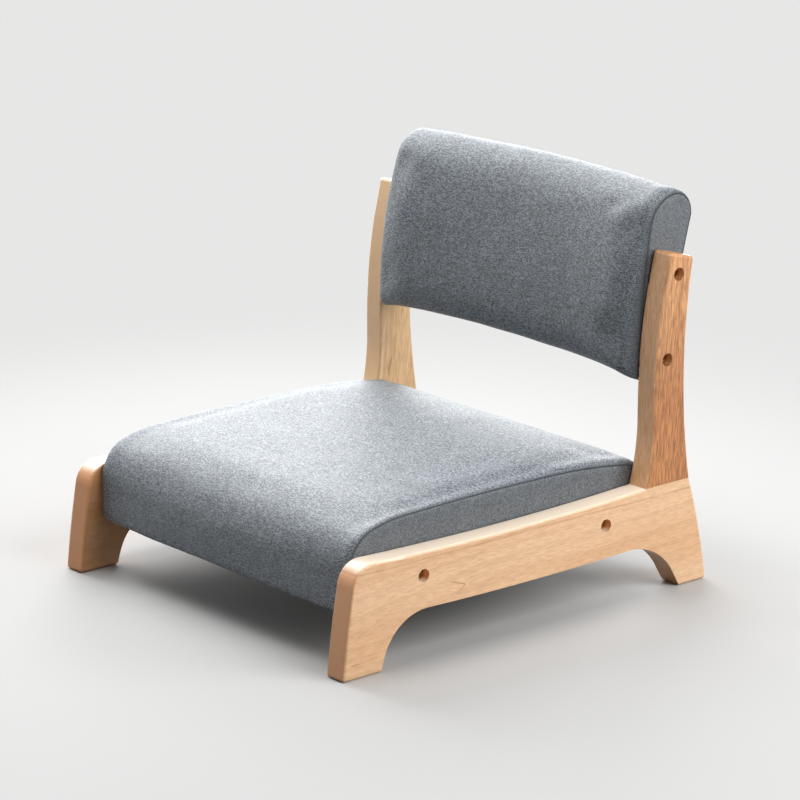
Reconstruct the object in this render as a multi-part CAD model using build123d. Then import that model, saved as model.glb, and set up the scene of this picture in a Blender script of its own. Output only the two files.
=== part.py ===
from build123d import *
import os
from math import atan2, cos, degrees, pi, radians, sin

# Low floor chair without legs: two glued side frames, a padded seat bolted between the
# rails and a padded, bowed back rest bolted between the posts.
# Millimetres. +Y points to the rear, +Z up, and left and right are as seen from the front,
# so +X is the right side. The origin is on the floor; the pieces are written out with the
# middle of the whole chair's plan over it.

# Overall
chair_width = 500.0  # over the outer faces of the side frames
frame_depth = 535.5  # front toe to rear toe
board_thickness = 28.0  # solid wood of rails and posts
side_gap = 0.5  # between a cushion unit and each side frame
fabric = 1.2  # cover cloth with its backing

# Side rail, seen from the side
rail_height = 126.0
rail_front_rake = 19.5  # how far the front edge leans back from toe to top
rail_rear_rake = 29.5
rail_front_bulge = 1.6  # the front and rear edges are slightly bellied
rail_rear_bulge = 2.8
rail_hollow = 5.0  # sag of the top edge between its nose and the post
rail_nose_radius = 28.0
arch_height = 60.5
arch_hollow = 4.0  # its top line sags with the rail
front_foot_length = 52.0  # along the floor
rear_foot_length = 42.0
front_arch_rake = 20.0  # run of each arch leg, from the floor to the arch's height
rear_arch_rake = 35.0
front_arch_radius = 62.0
rear_arch_radius = 78.0
sole_round = 4.0
arch_round = 1.0
outer_round = 3.0
inner_round = 2.5

# Back post, seen from the side, on the rear end of its rail
post_height = 391.0  # floor to the front of the post's top
post_foot = 68.5  # length of its glued foot
post_flare_height = 74.0  # the flared foot, above the rail
post_flare = 11.0
post_straight = 25.0
post_bow = 22.5  # how far the front edge then leans back
post_top_length = 34.5
post_top_drop = 8.5  # the top is cut square to the lean
post_waist = 11.0  # hollow of the rear edge
post_waist_height = 266.0
post_corner_radius = 4.0

# Dowels in the post's foot
dowel_radius = 4.0
dowel_length = 50.0
dowel_spacing = 30.0
dowel_end_gap = 1.0
press_gap = 0.05

# Bolts: button heads with a hexagon socket, recessed in counterbores
bolt_radius = 4.0
bolt_length = 45.0
bolt_head_radius = 7.0
bolt_head_height = 4.4
socket_across_flats = 5.0
socket_depth = 2.6
counterbore_radius = 7.5
counterbore_depth = 12.5
bolt_hole_radius = 4.5
seat_bolt_height = 95.7
seat_bolt_from_front = 112.2  # behind the front toe
seat_bolt_from_rear = 157.7  # in front of the rear toe
back_bolt_height = 270.2  # of the lower one
back_bolt_setback = 30.1  # behind the front of the post's foot
back_bolt_spacing = 96.5
back_lean = 9.0  # degrees, the line through the back bolts

# Tee nuts
nut_flange_radius = 9.5
nut_flange = 1.5
nut_barrel_radius = 5.0
nut_barrel = 9.5
prong_count = 4
prong_width = 4.0
prong_length = 6.0
prong_thickness = 1.2

# Seat unit
seat_bottom = 61.0
seat_front_gap = 25.0  # the seat's front is behind the front toe
seat_rear_gap = 72.5  # and its rear is in front of the rear toe
seat_nose = 49.0  # height of the upright part of the front
seat_height = 100.0
seat_crown = 9.0  # rise of the middle over the side seams
frame_wood = 25.0
frame_height = 58.0
cross_rail = 20.0
front_wrap = 14.0  # foam in front of the seat frame
rear_wrap = 3.0
corner_leg = 36.0
corner_height = 50.0
seat_board_thickness = 9.0
board_margin = 1.0
hem_width = 28.0
dust_cover_thickness = 0.8
dust_cover_margin = 9.0
screw_radius = 2.0
screw_head_radius = 4.0
screw_length = 30.0

# Back unit
back_bottom = 244.0
back_rear_setback = 55.5  # the cushion's rear is behind the front of the post's foot
back_rise = 196.0  # bottom to where the front meets the round top
back_recline = 34.0  # how far the front leans back in that height
back_thickness = 72.0
back_taper = 2.0  # the cushion is thinner at its foot
back_bottom_round = 20.0
back_bow = 22.0  # how far the middle bows to the rear
panel_thickness = 8.0
panel_setback = 8.0  # from the bolt line to the panel's front at its ends
panel_below = 12.0  # under the lower bolt, along the lean
panel_above = 162.0
block_front = 10.0  # end block in front of the bolt line
block_below = 12.0
block_above = 130.0
block_round = 8.0
foam_on_block = 6.6  # cushion in front of an end block, at the seam's foot
panel_screws_along = (20.0, 76.0)

# Derived
half_width = chair_width / 2
half_depth = frame_depth / 2
inner_face = half_width - board_thickness
unit_half = inner_face - side_gap
core_half = unit_half - fabric
board_inner = core_half - frame_wood
bolt_seat = half_width - counterbore_depth
frame_low = seat_bottom + fabric
frame_top = frame_low + frame_height
foam_floor = frame_top + seat_board_thickness
seat_front = -half_depth + seat_front_gap
seat_rear = half_depth - seat_rear_gap
seat_depth = seat_rear - seat_front
frame_front = seat_front + fabric + front_wrap
frame_rear = seat_rear - fabric - rear_wrap
post_rear_foot = half_depth - rail_rear_rake
post_front_foot = post_rear_foot - post_foot
back_bolt_line = post_front_foot + back_bolt_setback
back_front = post_front_foot + back_rear_setback - back_thickness
side_plane = Plane.YZ
lean_plane = Plane(
    origin=(0, back_bolt_line, back_bolt_height),
    x_dir=(1, 0, 0),
    z_dir=(0, sin(radians(back_lean)), cos(radians(back_lean))),
)


def corner_near(outline, y, z):
    return outline.vertices().sort_by_distance((y, z, 0))[0]


def along_x(radius, start, end, y, z):
    # a round bar from x = start to x = end
    bar = Plane.YZ.offset(start) * Pos(y, z) * Circle(radius)
    return extrude(bar, end - start)


def mirrored(shape):
    return mirror(shape, about=Plane.YZ)


def write(name, *solids):
    # one file for each named piece, or for each group of like pieces
    placed = [Pos(0, -plan_middle, 0) * solid for solid in solids]
    whole = placed[0] if len(placed) == 1 else Compound(children=placed)
    export_step(whole, os.path.join("parts", name + ".step"))
    print(name, len(whole.solids()), "solid(s)")


# Side frames: rail and post are shaped and rounded as one glued board, then parted at the
# glue line.
def frame_outline():
    toe_front = (-half_depth, 0)
    rail_front_top = (-half_depth + rail_front_rake, rail_height)
    foot_front = (post_front_foot, rail_height)
    foot_rear = (post_rear_foot, rail_height)
    flare_top = (post_front_foot + post_flare, rail_height + post_flare_height)
    bow_start = (flare_top[0], flare_top[1] + post_straight)
    top_front = (bow_start[0] + post_bow, post_height)
    top_rear = (top_front[0] + post_top_length, post_height - post_top_drop)
    waist = (post_rear_foot - post_waist, post_waist_height)
    toe_rear = (half_depth, 0)
    edges = [
        SagittaArc(toe_front, rail_front_top, rail_front_bulge),
        SagittaArc(rail_front_top, foot_front, -rail_hollow),
        TangentArc(flare_top, foot_front, tangent=(0, -1)),
        Line(flare_top, bow_start),
        TangentArc(bow_start, top_front, tangent=(0, 1)),
        Line(top_front, top_rear),
        ThreePointArc(top_rear, waist, foot_rear),
        SagittaArc(foot_rear, toe_rear, rail_rear_bulge),
        Line(toe_rear, toe_front),
    ]
    outline = make_face(edges)
    outline = fillet(corner_near(outline, *rail_front_top), rail_nose_radius)
    for corner in (top_front, top_rear):
        outline = fillet(corner_near(outline, *corner), post_corner_radius)
    return outline


def arch_outline():
    front_low = (-half_depth + front_foot_length, 0)
    front_high = (front_low[0] + front_arch_rake, arch_height)
    rear_low = (half_depth - rear_foot_length, 0)
    rear_high = (rear_low[0] - rear_arch_rake, arch_height)
    edges = [
        Line(front_low, front_high),
        SagittaArc(front_high, rear_high, -arch_hollow),
        Line(rear_high, rear_low),
        Line(rear_low, front_low),
    ]
    outline = make_face(edges)
    outline = fillet(corner_near(outline, *front_high), front_arch_radius)
    return fillet(corner_near(outline, *rear_high), rear_arch_radius)


def right_frame():
    board = extrude(side_plane.offset(inner_face) * frame_outline(), board_thickness)
    for face_x, radius in ((half_width, outer_round), (inner_face, inner_round)):
        rim = board.edges().filter_by_position(Axis.X, face_x - 0.01, face_x + 0.01)
        rim = rim.filter_by(lambda edge: edge.center().Z > 0.01)
        board = fillet(rim, radius)
    board -= extrude(side_plane.offset(inner_face) * arch_outline(), board_thickness)
    soles = board.edges().filter_by_position(Axis.Z, -0.01, 0.01)
    board = fillet(soles, sole_round)
    return board


def recessed_hole(y, z):
    shank = along_x(bolt_hole_radius, inner_face, half_width, y, z)
    return shank + along_x(counterbore_radius, bolt_seat, half_width, y, z)


frame = right_frame()
seat_bolt_places = [
    (-half_depth + seat_bolt_from_front, seat_bolt_height),
    (half_depth - seat_bolt_from_rear, seat_bolt_height),
]
back_bolt_places = []
for step in (0.0, back_bolt_spacing):
    place = lean_plane.from_local_coords((0, 0, step))
    back_bolt_places.append((place.Y, place.Z))
for place in seat_bolt_places + back_bolt_places:
    frame -= recessed_hole(*place)

wood_middle = half_width - board_thickness / 2
foot_middle = post_front_foot + post_foot / 2
dowel_places = [foot_middle - dowel_spacing / 2, foot_middle + dowel_spacing / 2]
for y in dowel_places:
    hole = Cylinder(dowel_radius + press_gap, dowel_length + 2 * dowel_end_gap)
    frame -= Pos(wood_middle, y, rail_height) * hole

glue_line = Plane.XY.offset(rail_height)
rail = split(frame, bisect_by=glue_line, keep=Keep.BOTTOM)
post = split(frame, bisect_by=glue_line, keep=Keep.TOP)


def dowel(y):
    pin = Cylinder(dowel_radius, dowel_length)
    pin = chamfer(pin.edges().filter_by(GeomType.CIRCLE), 1.0)
    return Pos(wood_middle, y, rail_height) * pin


dowels = [dowel(y) for y in dowel_places]


# Bolts and tee nuts, made at the right side and pointing to the middle of the chair
def bolt(y, z):
    crown = bolt_head_radius * 0.45
    profile = make_face(
        [
            Line((0, -bolt_length), (bolt_radius - 1, -bolt_length)),
            Line((bolt_radius - 1, -bolt_length), (bolt_radius, 1 - bolt_length)),
            Line((bolt_radius, 1 - bolt_length), (bolt_radius, 0)),
            Line((bolt_radius, 0), (bolt_head_radius, 0)),
            Line((bolt_head_radius, 0), (bolt_head_radius, 0.8)),
            TangentArc((crown, bolt_head_height), (bolt_head_radius, 0.8), tangent=(1, 0)),
            Line((crown, bolt_head_height), (0, bolt_head_height)),
            Line((0, bolt_head_height), (0, -bolt_length)),
        ]
    )
    solid = revolve(Plane.XZ * profile, Axis.Z)
    key = RegularPolygon(socket_across_flats / 2, 6, major_radius=False)
    solid -= extrude(Plane.XY.offset(bolt_head_height) * key, -socket_depth)
    return Plane(origin=(bolt_seat, y, z), x_dir=(0, 1, 0), z_dir=(1, 0, 0)) * solid


def tee_nut(y, z):
    nut = Pos(0, 0, -nut_flange / 2) * Cylinder(nut_flange_radius, nut_flange)
    nut += Pos(0, 0, nut_barrel / 2) * Cylinder(nut_barrel_radius, nut_barrel)
    point = (nut_flange_radius - prong_thickness, prong_length)
    outline = make_face(
        Polyline((-prong_width / 2, 0), (prong_width / 2, 0), (0, point[1]), close=True)
    )
    prong = extrude(Plane.XZ.offset(-point[0] + 0.3) * outline, -prong_thickness)
    for count in range(prong_count):
        nut += Rot(0, 0, count * 360 / prong_count) * prong
    nut -= Cylinder(bolt_radius + press_gap, 2 * (nut_barrel + nut_flange))
    return Plane(origin=(board_inner, y, z), x_dir=(0, 1, 0), z_dir=(1, 0, 0)) * nut


seat_bolts = [bolt(*place) for place in seat_bolt_places]
back_bolts = [bolt(*place) for place in back_bolt_places]
seat_nuts = [tee_nut(*place) for place in seat_bolt_places]
back_nuts = [tee_nut(*place) for place in back_bolt_places]


def drilled(member, places, nuts):
    # a member on the right that bolts pass through into tee nuts on its inner face
    for place in places:
        member -= along_x(bolt_hole_radius, board_inner, half_width, *place)
    for nut in nuts:
        member -= nut
    return member


# Cushion outlines are chains of arcs, each one tangent to the last. Moving each point
# along its own normal by the same amount gives the parallel outline.
def headings(points, first):
    found = [first]
    for here, there in zip(points, points[1:]):
        chord = atan2(there[1] - here[1], there[0] - here[0])
        turn = (chord - found[-1] + pi) % (2 * pi) - pi
        found.append(found[-1] + 2 * turn)
    return found


def moved_in(points, first, inset):
    angles = headings(points, first)
    return [
        (p[0] + inset * sin(a), p[1] - inset * cos(a)) for p, a in zip(points, angles)
    ]


def arc_chain(points, first):
    angles = headings(points, first)
    return [
        TangentArc(here, there, tangent=(cos(a), sin(a)))
        for here, there, a in zip(points, points[1:], angles)
    ]


def end_share(place, gentle):
    # 0 in the middle of a cushion and 1 at its end seams: a gentle curve with a round
    # shoulder next to each seam
    return gentle * place**2 + (1 - gentle) * abs(place) ** 22


def blended(middle, to_seam, share):
    return [(p[0] + share * m[0], p[1] + share * m[1]) for p, m in zip(middle, to_seam)]


def cushion(section, inset):
    def span(*places):
        reach = unit_half - inset
        return loft([side_plane.offset(place * reach) * section(place, inset) for place in places])

    end = span(0.85, 0.9, 0.94, 0.97, 1.0)
    return span(-0.85, -0.425, 0.0, 0.425, 0.85) + end + mirrored(end)


# Top of the seat in the middle, from the upright front to the upright rear: distance from
# the front and height over the bottom. The second list is how far each point moves at the
# side seams.
seat_middle = [
    (0.0, seat_nose),
    (31.0, seat_height - 9.0),
    (83.0, seat_height),
    (seat_depth - 137.0, seat_height + seat_crown - 1.5),
    (seat_depth - 23.0, seat_height + seat_crown - 9.7),
    (seat_depth + 4.0, seat_height - 33.5),
]
seat_to_seam = [
    (8.0, 0.0),
    (7.0, -1.5),
    (0.0, -3.0),
    (0.0, -seat_crown),
    (-3.0, -seat_crown - 2.0),
    (-4.0, -8.9),
]


def seat_section(place, inset):
    points = blended(seat_middle, seat_to_seam, end_share(place, 0.25))
    points = [(seat_front + y, seat_bottom + z) for y, z in points]
    points = moved_in(points, pi / 2, inset)
    low = seat_bottom + inset
    front_low = (points[0][0], low)
    rear_low = (points[-1][0], low)
    edges = arc_chain(points, pi / 2)
    edges.append(Line(front_low, points[0]))
    edges.append(Line(points[-1], rear_low))
    edges.append(Line(rear_low, front_low))
    return make_face(edges)


# Outline of the back rest in the middle, from the foot up the front, over the round top
# and down the rear, and how far each point moves at the end seams.
back_low = back_bottom + back_bottom_round
back_front_top = (back_front + back_recline, back_bottom + back_rise)
top_heading = headings([(back_front, back_low), back_front_top], pi / 2)[-1]
top_across = (back_thickness * sin(top_heading), -back_thickness * cos(top_heading))
back_crest = (
    back_front_top[0] + (top_across[0] - top_across[1]) / 2,
    back_front_top[1] + (top_across[1] + top_across[0]) / 2,
)
back_rear_foot = back_front + back_thickness - back_taper
back_middle = [
    (back_front + back_bottom_round, back_bottom),
    (back_front, back_low),
    back_front_top,
    back_crest,
    (back_front_top[0] + top_across[0], back_front_top[1] + top_across[1]),
    (back_rear_foot, back_low),
    (back_rear_foot - back_bottom_round, back_bottom),
]
seam_roll = back_bolt_line - block_front - foam_on_block - back_front
back_to_seam = [
    (seam_roll - 6.0, -4.0),
    (seam_roll, -10.0),
    (seam_roll * 0.3, -24.0),
    (-0.9, -9.9),
    (3.3, 4.9),
    (3.9, -8.0),
    (7.9, -4.0),
]


def back_section(place, inset):
    points = blended(back_middle, back_to_seam, end_share(place, 0.2))
    points = moved_in(points, pi, inset)
    bow = back_bow * (1 - place**2)
    points = [(y + bow, z) for y, z in points]
    edges = arc_chain(points, pi)
    edges.append(Line(points[-1], points[0]))
    return make_face(edges)


seat_skin = cushion(seat_section, 0.0)
seat_core = cushion(seat_section, fabric)
back_skin = cushion(back_section, 0.0)
back_core = cushion(back_section, fabric)


def block_between(low, high):
    size = [b - a for a, b in zip(low, high)]
    return Pos(*low) * Box(*size, align=(Align.MIN, Align.MIN, Align.MIN))


# Seat frame
right_member = block_between(
    (board_inner, frame_front, frame_low), (core_half, frame_rear, frame_top)
)
right_member = drilled(right_member, seat_bolt_places, seat_nuts)
front_member = block_between(
    (-board_inner, frame_front, frame_low),
    (board_inner, frame_front + cross_rail, frame_top),
)
rear_member = block_between(
    (-board_inner, frame_rear - cross_rail, frame_low),
    (board_inner, frame_rear, frame_top),
)


def corner_block(y, toward):
    # a triangle glued into the corner of a side member and a cross rail
    triangle = make_face(
        Polyline(
            (board_inner, y),
            (board_inner - corner_leg, y),
            (board_inner, y + toward * corner_leg),
            close=True,
        )
    )
    low = (frame_low + frame_top - corner_height) / 2
    return extrude(Plane.XY.offset(low) * triangle, corner_height)


right_corners = [
    corner_block(frame_front + cross_rail, 1),
    corner_block(frame_rear - cross_rail, -1),
]
corners = right_corners + [mirrored(block) for block in right_corners]

seat_board = block_between(
    (-core_half + board_margin, frame_front + board_margin, frame_top),
    (core_half - board_margin, frame_rear - board_margin, foam_floor),
)


def screw(radius=screw_radius, head=screw_head_radius, length=screw_length):
    # countersunk, its head's face at the origin and its point down
    profile = make_face(
        Polyline(
            (0, 0),
            (head, 0),
            (radius, radius - head),
            (radius, radius - length),
            (0, -length),
            close=True,
        )
    )
    return revolve(Plane.XZ * profile, Axis.Z)


side_screw_x = core_half - frame_wood / 2
cross_screw_x = board_inner / 2
middle_y = (frame_front + frame_rear) / 2
end_y = (frame_rear - frame_front) / 2 - 2 * cross_rail
screw_places = [(side_screw_x * s, middle_y + end_y * t) for s in (-1, 1) for t in (-1, 0, 1)]
for y in (frame_front + cross_rail / 2, frame_rear - cross_rail / 2):
    screw_places += [(-cross_screw_x, y), (cross_screw_x, y)]
seat_screws = [Pos(x, y, foam_floor) * screw() for x, y in screw_places]
for one in seat_screws:
    seat_board -= one
    right_member -= one
    front_member -= one
    rear_member -= one
left_member = mirrored(right_member)

under_board = block_between(
    (-core_half, frame_front, seat_bottom), (core_half, frame_rear, foam_floor)
)
seat_foam = seat_core - under_board
seat_cover = seat_skin - seat_core
seat_cover -= block_between(
    (-core_half + hem_width, seat_front + hem_width, seat_bottom - 1),
    (core_half - hem_width, seat_rear - hem_width, frame_low + 1),
)
for place in seat_bolt_places:
    seat_cover -= along_x(bolt_hole_radius, -half_width, half_width, *place)

seat_dust_cover = block_between(
    (
        -unit_half + dust_cover_margin,
        seat_front + dust_cover_margin,
        seat_bottom - dust_cover_thickness,
    ),
    (unit_half - dust_cover_margin, seat_rear - dust_cover_margin, seat_bottom),
)
seat_dust_cover = fillet(seat_dust_cover.edges().filter_by(Axis.Z), dust_cover_margin)


# Back unit: a ply panel bent in plan, an end block in front of each end, foam all round
def panel_band(front, thickness):
    # plan of a sheet with the panel's bow; front is measured from the bolt line
    edges = []
    rows = [front, front + thickness]
    for row in rows:
        edges.append(ThreePointArc((-core_half, row), (0, row + back_bow), (core_half, row)))
    edges.append(Line((-core_half, rows[0]), (-core_half, rows[1])))
    edges.append(Line((core_half, rows[0]), (core_half, rows[1])))
    return make_face(edges)


panel = extrude(
    lean_plane.offset(-panel_below) * panel_band(panel_setback, panel_thickness),
    panel_below + panel_above,
)
block_depth = block_front + panel_setback + panel_thickness
right_block = extrude(
    lean_plane.offset(-block_below)
    * Pos((board_inner + core_half) / 2, block_depth / 2 - block_front)
    * Rectangle(frame_wood, block_depth),
    block_below + block_above,
)
foot_edge = right_block.edges().filter_by(Axis.X).sort_by(Axis.Z)[:2].sort_by(Axis.Y)[0]
right_block = fillet(foot_edge, block_round)
right_block -= extrude(
    lean_plane.offset(-panel_below) * panel_band(panel_setback, back_thickness),
    panel_below + panel_above,
)
back_foam = back_core - panel - right_block - mirrored(right_block)
right_block = drilled(right_block, back_bolt_places, back_nuts)

block_middle = (board_inner + core_half) / 2
panel_screws = []
for along in panel_screws_along:
    for side in (-1, 1):
        depth = panel_setback + panel_thickness + 1.0
        spot = lean_plane * Pos(side * block_middle, depth, along) * Rot(-90, 0, 0)
        panel_screws.append(spot * screw())
for one in panel_screws:
    panel -= one
    right_block -= one
left_block = mirrored(right_block)

for place in back_bolt_places:
    tip = bolt_seat - bolt_length - 2.0
    room = along_x(nut_flange_radius + 1.0, tip, board_inner, *place)
    back_foam -= room
    back_foam -= mirrored(room)
for one in panel_screws:
    back_foam -= one
back_cover = back_skin - back_core
for place in back_bolt_places:
    back_cover -= along_x(bolt_hole_radius, -half_width, half_width, *place)


def both_sides(solids):
    return solids + [mirrored(solid) for solid in solids]


plan_middle = (rail.bounding_box().min.Y + back_cover.bounding_box().max.Y) / 2
os.makedirs("parts", exist_ok=True)
write("right_side_rail", rail)
write("left_side_rail", mirrored(rail))
write("right_back_post", post)
write("left_back_post", mirrored(post))
write("right_post_dowels", *dowels)
write("left_post_dowels", *[mirrored(pin) for pin in dowels])
write("seat_bolts", *both_sides(seat_bolts))
write("back_bolts", *both_sides(back_bolts))
write("seat_tee_nuts", *both_sides(seat_nuts))
write("back_tee_nuts", *both_sides(back_nuts))
write("seat_frame_right_member", right_member)
write("seat_frame_left_member", left_member)
write("seat_frame_front_rail", front_member)
write("seat_frame_rear_rail", rear_member)
write("seat_corner_blocks", *corners)
write("seat_board", seat_board)
write("seat_board_screws", *seat_screws)
write("seat_foam", seat_foam)
write("seat_cover", seat_cover)
write("seat_dust_cover", seat_dust_cover)
write("back_panel", panel)
write("back_panel_screws", *panel_screws)
write("back_right_end_block", right_block)
write("back_left_end_block", left_block)
write("back_foam", back_foam)
write("back_cover", back_cover)
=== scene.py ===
import math

import bmesh
import bpy
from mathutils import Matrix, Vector, kdtree, noise


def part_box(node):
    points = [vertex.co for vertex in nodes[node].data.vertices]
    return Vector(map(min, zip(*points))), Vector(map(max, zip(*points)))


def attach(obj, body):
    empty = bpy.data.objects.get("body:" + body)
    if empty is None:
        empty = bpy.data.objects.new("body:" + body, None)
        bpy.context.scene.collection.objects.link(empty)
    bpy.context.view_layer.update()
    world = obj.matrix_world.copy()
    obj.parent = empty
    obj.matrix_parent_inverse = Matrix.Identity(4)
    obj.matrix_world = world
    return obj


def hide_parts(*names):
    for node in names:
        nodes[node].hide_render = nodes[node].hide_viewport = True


# Low floor chair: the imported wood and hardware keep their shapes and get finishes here. The
# two upholstered cushions are made here, seamed at their ends and blown up as cloth.
# Metres, +Y to the rear, +Z up, +X to the chair's right as seen from the front.
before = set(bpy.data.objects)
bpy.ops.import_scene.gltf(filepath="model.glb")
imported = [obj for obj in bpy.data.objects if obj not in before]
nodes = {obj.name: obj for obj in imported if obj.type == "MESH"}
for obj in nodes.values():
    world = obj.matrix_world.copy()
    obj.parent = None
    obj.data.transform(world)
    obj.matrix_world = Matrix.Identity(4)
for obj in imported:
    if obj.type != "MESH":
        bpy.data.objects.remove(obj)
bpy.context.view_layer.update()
print("frame loaded:", len(nodes), "nodes")


# Materials: sums written on a Wire become Math nodes
class Wire:
    def __init__(self, tree, socket=None):
        self.tree = tree
        self.socket = socket

    def make(self, kind, settings=None, inputs=None, out=0):
        node = self.tree.nodes.new(kind)
        for name, value in (settings or {}).items():
            if name == "stops":
                while len(node.color_ramp.elements) < len(value):
                    node.color_ramp.elements.new(1.0)
                for element, (position, colour) in zip(node.color_ramp.elements, value):
                    element.position = position
                    element.color = colour
            else:
                setattr(node, name, value)
        for name, value in (inputs or {}).items():
            if isinstance(value, Wire):
                self.tree.links.new(value.socket, node.inputs[name])
            else:
                node.inputs[name].default_value = value
        return Wire(self.tree, node.outputs[out])

    def math(self, operation, first, second=0.0, third=0.0, clamp=False):
        settings = {"operation": operation, "use_clamp": clamp}
        return self.make("ShaderNodeMath", settings, {0: first, 1: second, 2: third})

    def __add__(self, other):
        return self.math("ADD", self, other)

    def __radd__(self, other):
        return self.math("ADD", other, self)

    def __sub__(self, other):
        return self.math("SUBTRACT", self, other)

    def __rsub__(self, other):
        return self.math("SUBTRACT", other, self)

    def __mul__(self, other):
        return self.math("MULTIPLY", self, other)

    def __rmul__(self, other):
        return self.math("MULTIPLY", other, self)

    def __truediv__(self, other):
        return self.math("DIVIDE", self, other)

    def __rtruediv__(self, other):
        return self.math("DIVIDE", other, self)

    def __abs__(self):
        return self.math("ABSOLUTE", self)

    def clamped(self):
        return self.math("ADD", self, 0.0, clamp=True)

    def between(self, low, high):
        # 0 at low and under, 1 at high and over, smooth between
        inputs = {"Value": self, "From Min": low, "From Max": high}
        return self.make("ShaderNodeMapRange", {"interpolation_type": "SMOOTHSTEP"}, inputs)

    def noise(self, scale, size=1.0, detail=2.0, roughness=0.5, turn=(0, 0, 0)):
        # scale is per axis, in cycles a metre
        inputs = {"Vector": self, "Rotation": turn, "Scale": scale}
        spread = self.make("ShaderNodeMapping", {"vector_type": "POINT"}, inputs)
        inputs = {"Vector": spread, "Scale": size, "Detail": detail, "Roughness": roughness}
        return self.make("ShaderNodeTexNoise", {}, inputs)

    def mixed(self, first, second, blend="MIX"):
        # this socket is the share of second
        settings = {"data_type": "RGBA", "blend_type": blend}
        return self.make("ShaderNodeMix", settings, {0: self, 6: first, 7: second}, 2)

    def feeds(self, shader, socket):
        self.tree.links.new(self.socket, shader.inputs[socket])


def rgb(red, green, blue):
    return (red, green, blue, 1.0)


def startFinish(name, constants):
    material = bpy.data.materials.new(name)
    material.use_nodes = True
    shader = material.node_tree.nodes["Principled BSDF"]
    for socket, value in constants.items():
        shader.inputs[socket].default_value = value
    start = Wire(material.node_tree)
    place = start.make("ShaderNodeTexCoord", out="Object")
    return material, shader, place


def turnedPlace(place, turn):
    inputs = {"Vector": place, "Rotation": turn}
    return place.make("ShaderNodeMapping", {"vector_type": "POINT"}, inputs)


def axesOf(vector):
    return [vector.make("ShaderNodeSeparateXYZ", {}, {0: vector}, out=i) for i in range(3)]


def facingOf(place):
    return axesOf(place.make("ShaderNodeNewGeometry", out="Normal"))


def bump(shader, height, strength, distance):
    inputs = {"Strength": strength, "Distance": distance, "Height": height}
    height.make("ShaderNodeBump", {}, inputs).feeds(shader, "Normal")


# Wood: the grain runs along the turned Y axis, and its noise is in cycles a metre
woodGrain = {
    "sway": (5.0, 1.6, 7.0),
    "wobble": (34.0, 9.0, 40.0),
    "streaks": (120.0, 5.0, 120.0),
    "tone": (9.0, 2.0, 16.0),
    "fibresAcross": 560.0,
    "poresAcross": 1300.0,
    "poreRun": 1.6,  # pores are shorter than fibres by this
    "ringSlope": 0.6,
    "wobbleDepth": 0.006,
    "lateWood": (0.3, 0.9),  # share of a ring where its late wood starts and is full
    "streakBand": (0.48, 0.68),  # noise at which each mark starts and is full
    "fibreBand": (0.32, 0.72),
    "poreBand": (0.60, 0.70),
    "toneBand": (0.34, 0.68),
    "frontFibreBand": (0.2, 0.8),
    "frontFacing": (0.3, 0.9),  # how squarely a face looks forward, and up, where the painted front tone and the painted top highlight go
    "topFacing": (0.55, 0.95),
    "roughening": (0.22, 0.1),  # by fibres and by pores
    "dips": (0.8, 0.25),  # of pores and of late wood under the fibres
    "bump": (0.3, 0.0004),  # strength and metres
    "specular": 0.42,
    "coatRoughness": 0.32,
}
railWood = {
    "turn": (0, 0, 0),
    "pale": rgb(0.88, 0.585, 0.345),
    "deep": rgb(0.81, 0.49, 0.265),
    "line": rgb(0.42, 0.18, 0.065),
    "sway": 0.10,
    "ringsPerMetre": 85.0,
    "ringShade": 0.12,
    "streakShade": 0.12,
    "fibreRun": 70.0,  # fibres a metre along the grain: fewer is longer
    "fibreShade": 0.34,
    "poreShade": 0.12,
    "gloss": 0.40,
    "paintedTopHighlight": (0.85, rgb(0.97, 0.84, 0.68)),  # share and colour of a painted highlight on a board's top
    "paintedFrontShading": (0.90, rgb(1.0, 0.38, 0.12)),  # and of a painted shade on its front face, darker and redder
}
# the left rail: the rail wood made darker and redder, as painted shade
leftRailWood = {
    **railWood,
    "pale": rgb(0.81, 0.44, 0.215),
    "deep": rgb(0.73, 0.36, 0.155),
    "paintedFrontShading": (0.90, rgb(0.84, 0.30, 0.08)),
}
rightPostWood = {
    "turn": (math.radians(-86), 0, 0),
    "pale": rgb(0.97, 0.53, 0.235),
    "deep": rgb(0.80, 0.39, 0.15),
    "line": rgb(0.24, 0.085, 0.03),
    "sway": 0.03,
    "ringsPerMetre": 130.0,
    "ringShade": 0.12,
    "streakShade": 0.30,
    "fibreRun": 42.0,
    "fibreShade": 0.85,
    "poreShade": 0.55,
    "gloss": 0.40,
    "lowTint": (0.20, 0.37, rgb(0.70, 0.55, 0.40)),  # darker and redder toward the foot
    # the front face is lightened: painted light
    "paintedFrontShading": (0.90, rgb(1.0, 0.64, 0.40)),
}
# the left post: a paler, yellower board, made paler still as painted light on its inner face
leftPostWood = {
    **rightPostWood,
    "pale": rgb(0.97, 0.69, 0.39),
    "deep": rgb(0.91, 0.60, 0.31),
    "line": rgb(0.45, 0.22, 0.09),
    "fibreShade": 0.45,
    "lowTint": (0.20, 0.37, rgb(1.0, 0.98, 0.95)),
}
frameWood = {
    "turn": (0, 0, 0),
    "pale": rgb(0.62, 0.47, 0.29),
    "deep": rgb(0.52, 0.37, 0.21),
    "line": rgb(0.33, 0.20, 0.10),
    "sway": 0.10,
    "ringsPerMetre": 95.0,
    "ringShade": 0.5,
    "streakShade": 0.3,
    "fibreRun": 60.0,
    "fibreShade": 0.4,
    "poreShade": 0.3,
    "gloss": 0.75,
}


def ringsOf(grain, look):
    # how much of a growth ring's late wood shows, and the small wobble that bends it
    across, along, up = axesOf(grain)
    sway = grain.noise(woodGrain["sway"], detail=1.5) - 0.5
    wobble = grain.noise(woodGrain["wobble"], detail=2.0) - 0.5
    height = up + across * woodGrain["ringSlope"] + sway * look["sway"]
    height = height + wobble * woodGrain["wobbleDepth"]
    ring = height * look["ringsPerMetre"]
    ring = ring.math("FRACT", ring)
    start, full = woodGrain["lateWood"]
    late = ring.between(start, full) * (1.0 - ring.between(full, 1.0))
    return late, wobble


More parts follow.
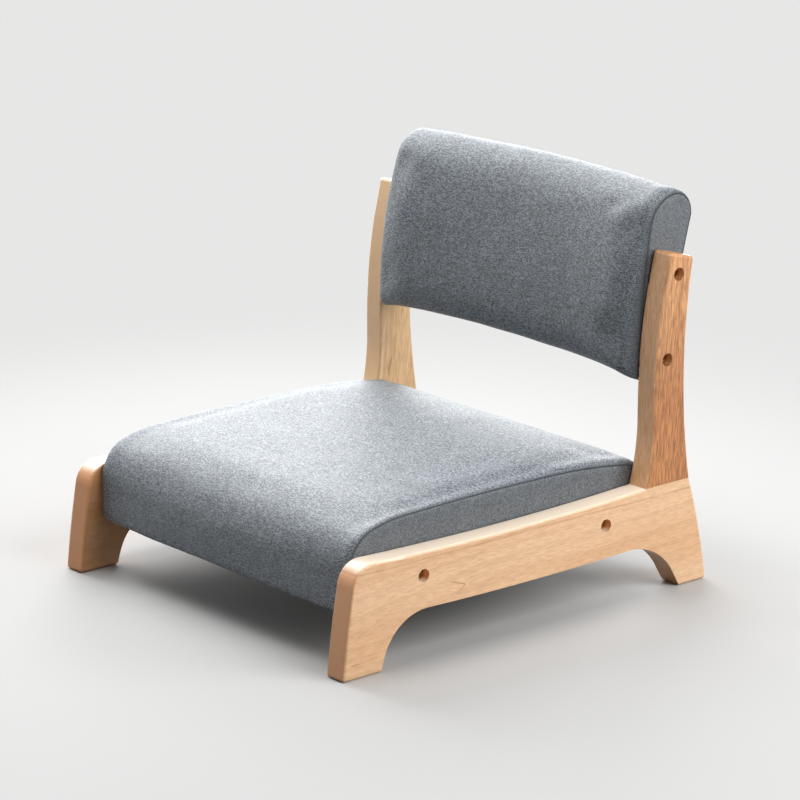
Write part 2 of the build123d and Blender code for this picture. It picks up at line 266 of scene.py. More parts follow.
def faceTones(colour, place, fibre, look):
    # the foot is toned darker; the front face takes painted shade on the rails and painted light
    # on the posts, and the top a painted highlight
    facing = facingOf(place)
    if "lowTint" in look:
        low, high, tint = look["lowTint"]
        under = 1.0 - axesOf(place)[2].between(low, high)
        colour = under.mixed(colour, tint, "MULTIPLY")
    if "paintedFrontShading" in look:
        # faces that look forward take a painted tone: painted shade on the rails, painted light
        # on the posts
        share, frontShadingColour = look["paintedFrontShading"]
        toned = fibre.between(*woodGrain["frontFibreBand"]).mixed(frontShadingColour, look["deep"])
        forward = (-1.0 * facing[1]).between(*woodGrain["frontFacing"])
        colour = (forward * share).mixed(colour, toned)
    if "paintedTopHighlight" in look:
        # faces that look up are lightened toward cream: a painted highlight
        share, highlightColour = look["paintedTopHighlight"]
        upward = facing[2].between(*woodGrain["topFacing"])
        colour = (upward * share).mixed(colour, highlightColour)
    return colour


def woodFinish(name, look, coat=0.0, marks=None):
    constants = {
        "Coat Weight": coat,
        "Coat Roughness": woodGrain["coatRoughness"],
        "Specular IOR Level": woodGrain["specular"],
    }
    material, shader, place = startFinish(name, constants)
    grain = turnedPlace(place, look["turn"])
    late, wobble = ringsOf(grain, look)
    streak = grain.noise(woodGrain["streaks"], detail=3.0, roughness=0.6)
    streak = streak.between(*woodGrain["streakBand"])
    across, run = woodGrain["fibresAcross"], look["fibreRun"]
    fibre = grain.noise((across, run, across), detail=3.0, roughness=0.65)
    across, run = woodGrain["poresAcross"], look["fibreRun"] * woodGrain["poreRun"]
    pore = grain.noise((across, run, across), detail=1.0).between(*woodGrain["poreBand"])
    tone = grain.noise(woodGrain["tone"], detail=2.0).between(*woodGrain["toneBand"])
    colour = tone.mixed(look["pale"], look["deep"])
    colour = (late * look["ringShade"]).mixed(colour, look["line"])
    colour = (streak * look["streakShade"]).mixed(colour, look["line"])
    fibreLine = fibre.between(*woodGrain["fibreBand"]) * look["fibreShade"]
    colour = fibreLine.mixed(colour, look["line"])
    colour = (pore * look["poreShade"]).mixed(colour, look["line"])
    colour = faceTones(colour, place, fibre, look)
    if marks:
        colour = marks(place, wobble).mixed(colour, look["line"])
    colour.feeds(shader, "Base Color")
    byFibre, byPore = woodGrain["roughening"]
    (look["gloss"] + (fibre - 0.5) * byFibre + pore * byPore).feeds(shader, "Roughness")
    poreDip, lateDip = woodGrain["dips"]
    bump(shader, fibre - pore * poreDip - late * lateDip, *woodGrain["bump"])
    return material


# Natural marks on the right rail, as (Y, Z) on its outer face
railMarks = {
    "outerFace": (0.20, 0.21),
    "staveLine": 0.1150,  # glue line between a narrow top stave and the rest
    "staveWidth": 0.0016,
    "staveBreaks": (10, 22, 10),
    "staveBand": (0.3, 0.6),
    "staveShade": (0.2, 0.35),  # least, and what its unbroken parts add
    "arrowTip": (-0.1030, 0.0735),
    "arrowArms": [(1, 0.36, 0.030), (-1, 0.78, 0.014)],  # side, slope and length, going forward
    "arrowWidth": 0.0013,
    "arrowShade": 0.75,
    "arrowFade": 0.3,  # share of its length where it starts to fade
    "arrowBend": 0.006,
    "strokeFade": 0.6,
    "bend": 0.004,
    "softStart": (-0.001, 0.001),
    "strokes": [  # start, slope, length, width and shade
        ((-0.262, 0.0165), 0.055, 0.014, 0.0011, 0.9),
        ((-0.262, 0.0165), 0.055, 0.05, 0.0008, 0.35),
        ((-0.2538, 0.0462), 0.42, 0.06, 0.0009, 0.4),
    ],
}


def strokeAt(along, up, start, slope, length, width):
    # a thin stroke that runs from start toward the rear, rising by slope, and fades
    ahead = along - start[0]
    off = abs(up - start[1] - ahead * slope)
    fade = 1.0 - ahead.between(length * railMarks["strokeFade"], length)
    return (1.0 - off / width).clamped() * ahead.between(*railMarks["softStart"]) * fade


def arrowMark(along, up, wobble):
    tipY, tipZ = railMarks["arrowTip"]
    behind = tipY - along + wobble * railMarks["arrowBend"]
    arrow = 0.0
    for side, slope, length in railMarks["arrowArms"]:
        off = abs(up - tipZ - behind * slope * side)
        arm = (1.0 - off / railMarks["arrowWidth"]).clamped()
        arm = arm * behind.between(*railMarks["softStart"])
        fade = 1.0 - behind.between(length * railMarks["arrowFade"], length)
        arrow = arm * fade * railMarks["arrowShade"] + arrow
    return arrow


def markRail(place, wobble):
    across, along, up = axesOf(place)
    bent = up + wobble * railMarks["bend"]
    marks = (1.0 - abs(bent - railMarks["staveLine"]) / railMarks["staveWidth"]).clamped()
    least, added = railMarks["staveShade"]
    unbroken = place.noise(railMarks["staveBreaks"]).between(*railMarks["staveBand"])
    marks = marks * (unbroken * added + least)
    marks = marks.math("MAXIMUM", marks, arrowMark(along, up, wobble))
    for start, slope, length, width, shade in railMarks["strokes"]:
        stroke = strokeAt(along, bent, start, slope, length, width) * shade
        marks = marks.math("MAXIMUM", marks, stroke)
    return marks * across.between(*railMarks["outerFace"])


# A dark streak on the inner face of the left post
streakMark = {
    "place": (0.1895, 0.1640),
    "half": (0.0020, 0.0130),
    "lean": 0.26,
    "shade": 0.85,
    "bend": 0.004,
    "edge": (-0.3, 0.9),
    "face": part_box("left_back_post")[1].x,
    "skin": (0.004, 0.001),  # from this far under the face to this near it
}


def markLeftPost(place, wobble):
    across, along, up = axesOf(place)
    inner = across.between(*(streakMark["face"] - depth for depth in streakMark["skin"]))
    middleY, middleZ = streakMark["place"]
    halfY, halfZ = streakMark["half"]
    rise = up - middleZ
    off = along - middleY - rise * streakMark["lean"] + wobble * streakMark["bend"]
    off = off / halfY
    far = rise / halfZ
    spot = 1.0 - off * off - far * far
    return spot.between(*streakMark["edge"]) * inner * streakMark["shade"]


plySheet = {
    "layersPerMetre": 640.0,
    "layerBand": (0.35, 0.65),
    "fibres": (16.0, 300.0, 300.0),
    "fibreShade": 0.45,
    "roughness": (0.6, 0.25),  # and what fibres add
    "bump": (0.3, 0.0003),
    "pale": rgb(0.60, 0.44, 0.26),
    "deep": rgb(0.47, 0.31, 0.17),
    "line": rgb(0.30, 0.18, 0.09),
}


def plyFinish(name, turn):
    material, shader, place = startFinish(name, {"Specular IOR Level": 0.3})
    sheet = turnedPlace(place, turn)
    layers = axesOf(sheet)[2] * plySheet["layersPerMetre"]
    layer = layers.math("FRACT", layers).between(*plySheet["layerBand"])
    fibre = sheet.noise(plySheet["fibres"], detail=3.0)
    colour = layer.mixed(plySheet["pale"], plySheet["deep"])
    shade = fibre * plySheet["fibreShade"]
    shade.mixed(colour, plySheet["line"]).feeds(shader, "Base Color")
    least, added = plySheet["roughness"]
    (least + fibre * added).feeds(shader, "Roughness")
    bump(shader, fibre, *plySheet["bump"])
    return material


# Plated steel: a colour, the colour where it is worn, and a base roughness
steelMarks = {
    "patina": (160, 160, 160),
    "wornBand": (0.35, 0.75),
    "scratches": (900, 90, 900),
    "scratchBand": (0.55, 0.75),
    "roughening": (0.18, 0.12),  # by patina and by scratches
    "bump": (0.15, 0.0002),
}
boltPlating = (rgb(0.30, 0.17, 0.05), rgb(0.62, 0.43, 0.17), 0.3)
nutPlating = (rgb(0.50, 0.51, 0.50), rgb(0.62, 0.62, 0.59), 0.32)


def steelFinish(name, plating):
    colour, worn, roughness = plating
    material, shader, place = startFinish(name, {"Metallic": 1.0})
    patina = place.noise(steelMarks["patina"], detail=3.0)
    scratch = place.noise(steelMarks["scratches"], detail=2.0)
    scratch = scratch.between(*steelMarks["scratchBand"])
    patina.between(*steelMarks["wornBand"]).mixed(colour, worn).feeds(shader, "Base Color")
    byPatina, byScratch = steelMarks["roughening"]
    (roughness + patina * byPatina + scratch * byScratch).feeds(shader, "Roughness")
    bump(shader, patina + scratch, *steelMarks["bump"])
    return material


# Cover cloth: grey melange, short pale and dark threads lying across the chair
coverCloth = {
    "dark": rgb(0.008, 0.009, 0.011),
    "middle": rgb(0.078, 0.089, 0.101),
    "pale": rgb(0.26, 0.295, 0.335),
    "rampAt": (0.43, 0.5, 0.57),
    "threads": (310.0, 980.0, 1060.0),
    "finer": (700.0, 1700.0, 1900.0),
    "patches": (110.0, 300.0, 300.0),
    "clouds": (26.0, 34.0, 34.0),
    "shares": (0.7, 0.3, 0.12, 0.05),  # of the four noises above
    "paintedEndShade": rgb(0.47, 0.47, 0.475),  # painted shade: faces that look along X, the end and side panels, are darkened
    "endFacing": (0.6, 0.95),
    # near-black colour of the painted shade in the seam grooves
    "seam": rgb(0.012, 0.013, 0.015),
    "roughness": (0.58, 0.1, 0.4),  # what threads take off it and the seam adds
    "bump": (0.4, 0.0005),
    "sheen": (0.15, 0.35, rgb(0.88, 0.94, 1.0)),  # weight, roughness and tint
    "gloss": (1.0, rgb(0.93, 0.97, 1.0)),  # specular level and tint
}


def coverFinish(name, look):
    constants = dict(zip(("Sheen Weight", "Sheen Roughness", "Sheen Tint"), look["sheen"]))
    constants.update(zip(("Specular IOR Level", "Specular Tint"), look["gloss"]))
    material, shader, place = startFinish(name, constants)
    thread = place.noise(look["threads"], detail=1.0, roughness=0.6)
    finer = place.noise(look["finer"], detail=0.0)
    patch = place.noise(look["patches"], detail=1.0) - 0.5
    cloud = place.noise(look["clouds"], detail=2.0) - 0.5
    byThread, byFiner, byPatch, byCloud = look["shares"]
    mix = thread * byThread + finer * byFiner + patch * byPatch + cloud * byCloud
    stops = list(zip(look["rampAt"], (look["dark"], look["middle"], look["pale"])))
    colour = mix.make("ShaderNodeValToRGB", {"stops": stops}, {"Fac": mix})
    # faces that look sideways are darkened: painted shade
    sidewaysShade = abs(facingOf(place)[0]).between(*look["endFacing"])
    colour = sidewaysShade.mixed(colour, look["paintedEndShade"], "MULTIPLY")
    # the seam grooves are darkened: painted shade
    seam = place.make("ShaderNodeAttribute", {"attribute_name": "seamShade"}, out="Fac")
    seam.clamped().mixed(colour, look["seam"]).feeds(shader, "Base Color")
    roughness, offByThread, addedBySeam = look["roughness"]
    roughness = roughness - (thread - 0.5) * offByThread + seam * addedBySeam
    roughness.feeds(shader, "Roughness")
    bump(shader, mix, *look["bump"])
    return material


dustWeb = {
    "web": (700, 700, 700),
    "webBand": (0.3, 0.7),
    "webRelief": 0.5,
    "pressesPerMetre": 500.0,
    "roughness": (0.8, 0.15),
    "bump": (0.5, 0.0004),
    "dark": rgb(0.012, 0.012, 0.013),
    "pale": rgb(0.045, 0.045, 0.048),
}


def dustFinish(name):
    material, shader, place = startFinish(name, {"Specular IOR Level": 0.2})
    web = place.noise(dustWeb["web"], detail=4.0, roughness=0.8)
    inputs = {"Vector": place, "Scale": dustWeb["pressesPerMetre"]}
    press = place.make("ShaderNodeTexVoronoi", {}, inputs)
    colour = web.between(*dustWeb["webBand"]).mixed(dustWeb["dark"], dustWeb["pale"])
    colour.feeds(shader, "Base Color")
    least, added = dustWeb["roughness"]
    (least + web * added).feeds(shader, "Roughness")
    bump(shader, web * dustWeb["webRelief"] + press, *dustWeb["bump"])
    return material


rightRailFinish = woodFinish("rightRailWood", railWood, coat=0.5, marks=markRail)
leftRailFinish = woodFinish("leftRailWood", leftRailWood, coat=0.5)
rightPostFinish = woodFinish("rightPostWood", rightPostWood, coat=0.3)
leftPostFinish = woodFinish("leftPostWood", leftPostWood, coat=0.3, marks=markLeftPost)
innerWood = woodFinish("innerWood", frameWood)
dowelWood = woodFinish("dowelWood", {**frameWood, "turn": (math.radians(-90), 0, 0)})
boardPly = plyFinish("boardPly", (0, 0, 0))
panelPly = plyFinish("panelPly", (math.radians(-81), 0, 0))
brass = steelFinish("brass", boltPlating)
zinc = steelFinish("zinc", nutPlating)
coverFabric = coverFinish("coverCloth", coverCloth)
dustCloth = dustFinish("dustCloth")

finishes = {
    "right_side_rail": rightRailFinish,
    "left_side_rail": leftRailFinish,
    "right_back_post": rightPostFinish,
    "left_back_post": leftPostFinish,
    "right_post_dowels": dowelWood,
    "left_post_dowels": dowelWood,
    "seat_bolts": brass,
    "back_bolts": brass,
    "seat_tee_nuts": zinc,
    "back_tee_nuts": zinc,
    "seat_frame_right_member": innerWood,
    "seat_frame_left_member": innerWood,
    "seat_frame_front_rail": innerWood,
    "seat_frame_rear_rail": innerWood,
    "seat_corner_blocks": innerWood,
    "seat_board": boardPly,
    "seat_board_screws": zinc,
    "seat_dust_cover": dustCloth,
    "back_panel": panelPly,
    "back_panel_screws": zinc,
    "back_right_end_block": innerWood,
    "back_left_end_block": innerWood,
}
for name, finish in finishes.items():
    data = nodes[name].data
    data.materials.clear()
    data.materials.append(finish)
print("finishes on", len(finishes), "nodes")


# Cushion outlines: chains of arcs, each one tangent to the last, in the YZ plane (mm)
def arcPoints(points, heading, perArc=26):
    found = []
    for (ay, az), (by, bz) in zip(points, points[1:]):
        turn = (math.atan2(bz - az, by - ay) - heading + math.pi) % (2 * math.pi) - math.pi
        length = math.hypot(by - ay, bz - az)
        for step in range(perArc):
            share = step / perArc
            if abs(turn) < 1e-4:
                found.append((ay + (by - ay) * share, az + (bz - az) * share))
                continue
            radius = length / 2 / math.sin(turn)
            angle = heading + 2 * turn * share
            y = ay + radius * (math.sin(angle) - math.sin(heading))
            z = az - radius * (math.cos(angle) - math.cos(heading))
            found.append((y, z))
        heading += 2 * turn
    found.append(points[-1])
    return found


def roundedCorner(before, corner, after, radius, count=5):
    towards = (Vector(before) - Vector(corner)).normalized() * radius
    onward = (Vector(after) - Vector(corner)).normalized() * radius
    start, end = Vector(corner) + towards, Vector(corner) + onward
    shares = [step / count for step in range(count + 1)]
    bent = [start * (1 - s) ** 2 + Vector(corner) * 2 * s * (1 - s) + end * s**2 for s in shares]
    return [tuple(point) for point in bent]


def evenRing(points, count):
    # the closed outline again, at even steps along its length
    closed = points + [points[0]]
    lengths = [math.dist(a, b) for a, b in zip(closed, closed[1:])]
    total = sum(lengths)
    ring, walked, index = [], 0.0, 0
    for step in range(count):
        target = total * step / count
        while walked + lengths[index] < target:
            walked += lengths[index]
            index += 1
        share = (target - walked) / max(lengths[index], 1e-9)
        a, b = closed[index], closed[index + 1]
        ring.append((a[0] + (b[0] - a[0]) * share, a[1] + (b[1] - a[1]) * share))
    return ring


def blended(middle, toSeam, share):
    return [(p[0] + share * m[0], p[1] + share * m[1]) for p, m in zip(middle, toSeam)]


def endShare(place, form):
    # 0 in the middle and 1 at a seam: a gentle curve, then a round shoulder
    gentle = form["gentle"]
    return gentle * place**2 + (1 - gentle) * abs(place) ** form["shoulder"]


def grownOut(ring, amount):
    # moves each point of an outline along its own normal; the outline runs clockwise
    moved = []
    for before, here, after in zip(ring[-1:] + ring[:-1], ring, ring[1:] + ring[:1]):
        dy, dz = after[0] - before[0], after[1] - before[1]
        length = math.hypot(dy, dz) or 1.0
        moved.append((here[0] - dz / length * amount, here[1] + dy / length * amount))
    return moved


seatForm = {
    "half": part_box("seat_cover")[1].x * 1000,
    "front": -241.0,
    "bottom": 61.0,
    "middle": [(0, 49), (31, 91), (83, 100), (301, 107.5), (415, 99.3), (442, 66.5)],
    "toSeam": [(8, 0), (7, -1.5), (0, -3), (0, -9), (-3, -11), (-4, -8.9)],
    "gentle": 0.25,
    "shoulder": 22,  # the higher, the tighter the shoulder
    "hemRound": 5.0,
    "ringPoints": 236,
    "heldBelow": 72.0,  # the cloth is fixed to the seat frame below this height
    "hemReach": 22.0,
}
backForm = {
    "half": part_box("back_cover")[1].x * 1000,
    "middle": [
        (175, 244),
        (155, 264),
        (189, 440),
        (235.8, 460),
        (255.8, 413.2),
        (225, 264),
        (205, 244),
    ],
    "toSeam": [(25, -4), (31, -10), (10, -24), (2, -9.9), (7, 4.9), (7.6, -8), (11, -4)],
    "toLeftSeam": [(24, -4), (30, -10), (20, -23), (4, -12), (7, 4.9), (7.6, -8), (11, -4)],
    "bow": 22.0,
    "gentle": 0.2,
    "shoulder": 22,
    "ringPoints": 112,
    "heldBelow": 0.0,
    "hemReach": 1.0,
}
# from the outlines' own Y to the frame's
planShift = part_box("seat_cover")[0].y * 1000 - seatForm["front"]


def seatRing(place):
    form = seatForm
    points = blended(form["middle"], form["toSeam"], endShare(place, form))
    points = [(form["front"] + y, form["bottom"] + z) for y, z in points]
    frontLow = (points[0][0], form["bottom"])
    rearLow = (points[-1][0], form["bottom"])
    outline = arcPoints(points, math.pi / 2)
    outline += roundedCorner(points[-1], rearLow, frontLow, form["hemRound"])
    outline += roundedCorner(rearLow, frontLow, points[0], form["hemRound"])
    return evenRing(outline, form["ringPoints"])


def backRing(place):
    form = backForm
    toSeam = form["toSeam"] if place > 0 else form["toLeftSeam"]
    points = blended(form["middle"], toSeam, endShare(place, form))
    bow = form["bow"] * (1 - place**2)
    points = [(y + bow, z) for y, z in points]
    return evenRing(arcPoints(points, math.pi), form["ringPoints"])


# Seams and ends of both cushions (mm)
seamWork = {
    "depth": 2.0,
    "grooveWidth": 1.3,
    # how far the painted shade beside a seam groove reaches
    "shadeWidth": 1.1,
    "besideSeam": [0.0, 0.7, 1.5, 2.6, 4.2, 6.5, 9.5, 13.0, 17.0, 21.5, 26.0],
    "stepsBetween": 74,
    "endInsets": (1.6, 2.8, 4.5),  # rings of the flat end panel beside the seam
    "endScales": (0.94, 0.86, 0.76, 0.64, 0.5, 0.36, 0.22, 0.1),  # and on to its middle
    "rim": (1.5, 1.2, 0.9),  # place, width and painted-shade width of the panel's own side of the groove
}
clothWork = {
    "voxel": 0.0065,
    "frames": 18,
    "pressure": 4.0,
    "tension": 20.0,
    "bending": 2.0,
    "mass": 0.3,
    "quality": 6,
    "heldAtEnds": 0.0035,
    "slack": 3.0,  # how much smaller the cushion starts, before it is blown up (mm)
    "slackReach": 16.0,  # there is less slack than that this near to a seam (mm)
    "mostSwell": 0.0036,
    "smoothOver": 30,  # cloth points that each point of the cushion follows
    "smoothReach": 0.012,
    "uneven": [(15.0, 0.0007), (34.0, 0.0003)],  # lumps a metre and their height
}


def nearby(distance, reach):
    return math.exp(-((distance / reach) ** 2))


def stationsOf(half):
    # distances from an end seam, close together beside it
    near = seamWork["besideSeam"]
    count = seamWork["stepsBetween"]
    step = (2 * half - 2 * near[-1]) / count
    middle = [near[-1] + step * i for i in range(1, count)]
    return near + middle + [2 * half - d for d in reversed(near)]


def addRing(bm, x, ring, dark):
    shade = bm.verts.layers.float["seamShade"]
    row = []
    for y, z in ring:
        vert = bm.verts.new((x / 1000, (y + planShift) / 1000, z / 1000))
        # how much of the seam groove's painted shade this point takes
        vert[shade] = dark
        row.append(vert)
    return row


def bodyRows(bm, half, ringAt):
    # outlines from seam to seam, drawn in at each groove
    rows = []
    for distance in stationsOf(half):
        edge = min(distance, 2 * half - distance)
        groove = seamWork["depth"] * nearby(edge, seamWork["grooveWidth"])
        slack = clothWork["slack"] * (1 - nearby(edge, clothWork["slackReach"]))
        ring = grownOut(ringAt((distance - half) / half), -groove - slack)
        rows.append(addRing(bm, distance - half, ring, nearby(edge, seamWork["shadeWidth"])))
    return rows


def endRows(bm, half, side, ringAt):
    # the flat panel that closes an end, from its seam to its middle
    ring = ringAt(side)
    middle = (sum(p[0] for p in ring) / len(ring), sum(p[1] for p in ring) / len(ring))
    rim, width, shadeWidth = seamWork["rim"]
    rows = []
    for inset in seamWork["endInsets"]:
        sunk = seamWork["depth"] / 2 * nearby(inset - rim, width)
        inner = grownOut(ring, -inset)
        rows.append(addRing(bm, side * (half - sunk), inner, nearby(inset - rim, shadeWidth)))
    for scale in seamWork["endScales"]:
        shrunk = []
        for point in inner:
            shrunk.append([m + (p - m) * scale for p, m in zip(point, middle)])
        rows.append(addRing(bm, side * half, shrunk, 0.0))
    return rows


def linkedPiece(name, bm):
    bmesh.ops.recalc_face_normals(bm, faces=bm.faces)
    mesh = bpy.data.meshes.new(name)
    bm.to_mesh(mesh)
    bm.free()
    for face in mesh.polygons:
        face.use_smooth = True
    piece = bpy.data.objects.new(name, mesh)
    bpy.context.collection.objects.link(piece)
    return piece


def cushionMesh(name, form, ringAt):
    half = form["half"]
    bm = bmesh.new()
    bm.verts.layers.float.new("seamShade")
    rows = bodyRows(bm, half, ringAt)
    rows = endRows(bm, half, -1, ringAt)[::-1] + rows + endRows(bm, half, 1, ringAt)
    count = form["ringPoints"]
    for low, high in zip(rows, rows[1:]):
        for i in range(count):
            j = (i + 1) % count
            bm.faces.new((low[i], high[i], high[j], low[j]))
    for row in (rows[0], rows[-1]):
        tip = bm.verts.new(sum((v.co for v in row), Vector()) / count)
        for i in range(count):
            bm.faces.new((row[i], row[(i + 1) % count], tip))
    return linkedPiece(name, bm)


def clothCopy(piece):
    # an evenly meshed copy of the cushion, which the cloth is worked out on
    copy = bpy.data.objects.new(piece.name + "Cloth", piece.data.copy())
    bpy.context.collection.objects.link(copy)
    remesh = copy.modifiers.new("voxels", "REMESH")
    remesh.mode = "VOXEL"
    remesh.voxel_size = clothWork["voxel"]
    graph = bpy.context.evaluated_depsgraph_get()
    mesh = bpy.data.meshes.new_from_object(copy.evaluated_get(graph))
    copy.modifiers.clear()
    copy.data = mesh
    return copy


def holdEdges(copy, form):
    held = copy.vertex_groups.new(name="held")
    edge = form["half"] / 1000 - clothWork["heldAtEnds"]
    low = form["heldBelow"] / 1000
    fixed = [v.index for v in copy.data.vertices if abs(v.co.x) > edge or v.co.z < low]
    held.add(fixed, 1.0, "REPLACE")
    return held.name


def blowUp(copy, form):
    cloth = copy.modifiers.new("cloth", "CLOTH").settings
    cloth.quality = clothWork["quality"]
    cloth.mass = clothWork["mass"]
    cloth.tension_stiffness = clothWork["tension"]
    cloth.compression_stiffness = clothWork["tension"]
    cloth.bending_stiffness = clothWork["bending"]
    cloth.use_pressure = True
    cloth.uniform_pressure_force = clothWork["pressure"]
    cloth.vertex_group_mass = holdEdges(copy, form)
    cloth.effector_weights.gravity = 0.0
    for number in range(1, clothWork["frames"] + 1):
        bpy.context.scene.frame_set(number)
    graph = bpy.context.evaluated_depsgraph_get()
    return copy.evaluated_get(graph).to_mesh()


def clothMoves(piece, form):
    # where the cloth moves each of its points, in a tree that finds the nearest ones
    copy = clothCopy(piece)
    blown = blowUp(copy, form)
    places, moves = [], []
    for old, new in zip(copy.data.vertices, blown.vertices):
        move = new.co - old.co
        if move.length > clothWork["mostSwell"]:
            move = move.normalized() * clothWork["mostSwell"]
        places.append(old.co.copy())
        moves.append(move)
    bpy.context.scene.frame_set(1)
    bpy.data.objects.remove(copy)
    tree = kdtree.KDTree(len(places))
    for index, place in enumerate(places):
        tree.insert(place, index)
    tree.balance()
    return tree, moves


def smoothMove(place, tree, moves):
    total, weight = Vector(), 0.0
    for spot, index, distance in tree.find_n(place, clothWork["smoothOver"]):
        pull = nearby(distance, clothWork["smoothReach"])
        total += moves[index] * pull
        weight += pull
    return total / weight


def puff(piece, form):
    slack = clothWork["slack"] / 1000
    tree, moves = clothMoves(piece, form)
    mesh = piece.data
    normals = [v.normal.copy() for v in mesh.vertices]
    for vert, normal in zip(mesh.vertices, normals):
        inside = max(0.0, form["half"] / 1000 - abs(vert.co.x))
        free = 1 - nearby(inside, clothWork["slackReach"] / 1000)
        move = normal * slack
        # the hem under the seat, which the cloth leaves alone, takes up its slack too
        rise = (vert.co.z * 1000 - form["heldBelow"]) / form["hemReach"]
        hem = min(max(1 - rise, 0.0), 1.0)
        move = smoothMove(vert.co, tree, moves) + normal * hem * slack
        uneven = sum(noise.noise(vert.co * rate) * height for rate, height in clothWork["uneven"])
        vert.co += move * free + normal * uneven * free
    mesh.update()
    mesh.materials.append(coverFabric)
    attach(piece, "root")
    print(piece.name, "shaped,", len(mesh.vertices), "points")


seatCushion = cushionMesh("seatCushion", seatForm, seatRing)
puff(seatCushion, seatForm)
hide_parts("seat_cover", "seat_foam")

backCushion = cushionMesh("backCushion", backForm, backRing)
puff(backCushion, backForm)
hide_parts("back_cover", "back_foam")


# Staples that hold the dust cover to the seat frame
staples = {
    "crown": 0.010,
    "wire": 0.0005,  # radius
    "sides": 6,
    "halfLine": [(0.82, -0.6), (1.0, 0.4), (1.0, 1.5)],  # in half crowns, and wires up
    "inset": 0.006,  # from the dust cover's edge
    "spacing": 0.048,
    "lean": math.radians(12),
    "leanRate": 90.0,
}


def staplePlaces():
    low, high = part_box("seat_dust_cover")
    margin = Vector((1, 1, 0)) * staples["inset"]
    low, high = low + margin, high - margin
    places = []
    for axis in (0, 1):
        length = high[axis] - low[axis]
        count = round(length / staples["spacing"])
        for edge in (low, high):
            for step in range(count):
                spot = Vector((edge.x, edge.y, low.z))
                spot[axis] = low[axis] + length * (step + 0.5) / count
                lean = staples["lean"] * noise.noise(spot * staples["leanRate"])
                places.append((spot, axis * math.pi / 2 + lean))
    return places


def addStaple(bm, spot, turn):
    # a round wire with bent shoulders whose two legs go up into the wood
    half, wire, sides = staples["crown"] / 2, staples["wire"], staples["sides"]
    rightHalf = [(half * along, rise) for along, rise in staples["halfLine"]]
    line = [(-along, rise) for along, rise in reversed(rightHalf)] + rightHalf
    forward = Vector((math.cos(turn), math.sin(turn), 0))
    side = Vector((-math.sin(turn), math.cos(turn), 0))
    up = Vector((0, 0, 1))
    rings = []
    for index, (along, rise) in enumerate(line):
        before = line[max(index - 1, 0)]
        after = line[min(index + 1, len(line) - 1)]
        heading = forward * (after[0] - before[0]) + up * (after[1] - before[1]) * wire
        outward = side.cross(heading.normalized())
        middle = spot + forward * along + up * rise * wire
        ring = []
        for corner in range(sides):
            angle = corner * 2 * math.pi / sides
            offset = side * math.cos(angle) + outward * math.sin(angle)
            ring.append(bm.verts.new(middle + offset * wire))
        rings.append(ring)
    for near, far in zip(rings, rings[1:]):
        for corner in range(sides):
            other = (corner + 1) % sides
            bm.faces.new((near[corner], near[other], far[other], far[corner]))
    bm.faces.new(rings[0])
    bm.faces.new(rings[-1])


def makeStaples():
    places = staplePlaces()
    bm = bmesh.new()
    for spot, turn in places:
        addStaple(bm, spot, turn)
    piece = linkedPiece("seatStaples", bm)
    piece.data.materials.append(zinc)
    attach(piece, "root")
    print("staples under the seat:", len(places))


makeStaples()


# Floor, light and camera
stageLook = {
    "floor": rgb(0.52, 0.52, 0.515),
    "floorSpeck": rgb(0.5, 0.5, 0.5),
    "specks": (3, 3, 3),
    "speckShade": 0.1,
    "floorRoughness": (0.75, 0.1),
    "farGlow": rgb(0.80, 0.80, 0.795),
    "glowFrom": (0.40, 1.20),  # metres from the middle of the chair
    "floorBounce": rgb(0.14, 0.14, 0.14),
    "floorSize": 24.0,
    "world": rgb(0.93, 0.94, 0.95),
    "worldLight": 0.12,
    "lampsAimAt": (0, 0, 0.25),
}
# each lamp: place, size, power
lamps = {
    "overhead": ((-0.4, -0.3, 2.9), 1.9, 48.0),
    "window": ((-4.6, 4.0, 1.9), 3.2, 250.0),
    "leftHigh": ((-2.5, 0.3, 2.0), 2.0, 72.0),
    "leftLow": ((-3.6, -0.5, 1.0), 2.0, 31.0),
    "rightHigh": ((2.7, 0.7, 2.3), 2.0, 72.0),
    "rightRear": ((3.1, 2.3, 1.0), 2.0, 80.0),
}
photoView = {
    "place": (3.12807, -2.63225, 1.38558),
    "back": (0.733118, -0.620935, 0.277447),
    "lens": 169.414,
    "sensor": 36.0,
    "clip": (0.1, 60.0),
}


def raysThatSee(start):
    # 1 for rays from the camera and from gloss or glass, 0 for light bouncing about
    names = ("Is Camera Ray", "Is Glossy Ray", "Is Transmission Ray")
    return sum((start.make("ShaderNodeLightPath", out=name) for name in names), 0.0).clamped()


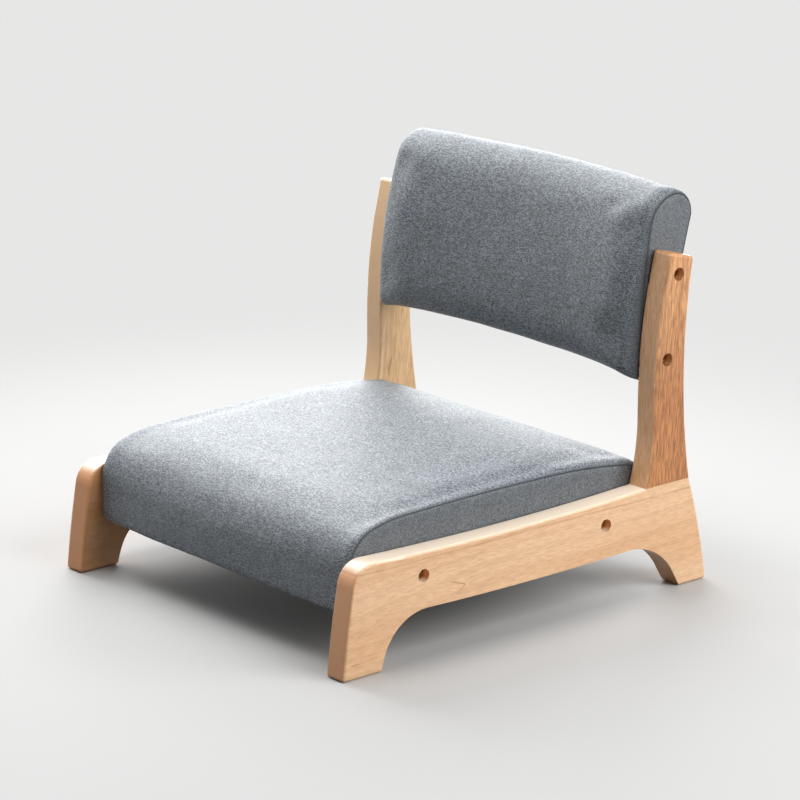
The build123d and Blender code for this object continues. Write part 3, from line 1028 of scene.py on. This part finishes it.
def floorPaint(mesh):
    # painted near the chair; far off it glows an even pale grey, as seen from anywhere
    material, shader, place = startFinish("floorPaint", {"Specular IOR Level": 0.2})
    speck = place.noise(stageLook["specks"], detail=3.0)
    seen = raysThatSee(place)
    away = place.make("ShaderNodeVectorMath", {"operation": "LENGTH"}, {0: place}, "Value")
    colour = seen.mixed(stageLook["floorBounce"], stageLook["floor"])
    colour = (speck * stageLook["speckShade"]).mixed(colour, stageLook["floorSpeck"])
    colour.feeds(shader, "Base Color")
    least, added = stageLook["floorRoughness"]
    (least + speck * added).feeds(shader, "Roughness")
    paint = Wire(place.tree, shader.outputs[0])
    glow = place.make("ShaderNodeEmission", {}, {"Color": stageLook["farGlow"]})
    inputs = {0: away.between(*stageLook["glowFrom"]) * seen, 1: paint, 2: glow}
    upper = place.make("ShaderNodeMixShader", {}, inputs)
    under = place.make("ShaderNodeNewGeometry", out="Backfacing")  # clear when seen from below
    inputs = {0: under, 1: upper, 2: place.make("ShaderNodeBsdfTransparent")}
    surface = place.tree.nodes["Material Output"]
    place.make("ShaderNodeMixShader", {}, inputs).feeds(surface, "Surface")
    mesh.materials.append(material)


def makeFloor():
    bm = bmesh.new()
    bmesh.ops.create_grid(bm, x_segments=1, y_segments=1, size=stageLook["floorSize"] / 2)
    mesh = bpy.data.meshes.new("floor")
    bm.to_mesh(mesh)
    bm.free()
    floorPaint(mesh)
    floor = bpy.data.objects.new("floor", mesh)
    bpy.context.collection.objects.link(floor)


def lookingAlong(aim):
    return aim.to_track_quat("-Z", "Y")


def makeLamp(name, place, size, power):
    data = bpy.data.lights.new(name, "AREA")
    data.shape = "SQUARE"
    data.size = size
    data.energy = power
    lamp = bpy.data.objects.new(name, data)
    lamp.location = place
    lamp.rotation_mode = "QUATERNION"
    lamp.rotation_quaternion = lookingAlong(Vector(stageLook["lampsAimAt"]) - Vector(place))
    bpy.context.collection.objects.link(lamp)


def makeWorld():
    world = bpy.data.worlds.new("studio")
    bpy.context.scene.world = world
    world.use_nodes = True
    background = world.node_tree.nodes["Background"]
    background.inputs["Color"].default_value = stageLook["world"]
    seen = raysThatSee(Wire(world.node_tree))
    strength = stageLook["worldLight"] + seen * (1.0 - stageLook["worldLight"])
    strength.feeds(background, "Strength")


def makeCamera():
    data = bpy.data.cameras.new("camera")
    data.lens = photoView["lens"]
    data.sensor_width = photoView["sensor"]
    data.clip_start, data.clip_end = photoView["clip"]
    camera = bpy.data.objects.new("camera", data)
    camera.location = photoView["place"]
    camera.rotation_mode = "QUATERNION"
    camera.rotation_quaternion = lookingAlong(-Vector(photoView["back"]))
    bpy.context.collection.objects.link(camera)
    bpy.context.scene.camera = camera


makeFloor()
makeWorld()
for name, (place, size, power) in lamps.items():
    makeLamp(name, place, size, power)
makeCamera()
bpy.context.scene.view_settings.view_transform = "Standard"
print("stage,", len(lamps), "lamps and camera ready")
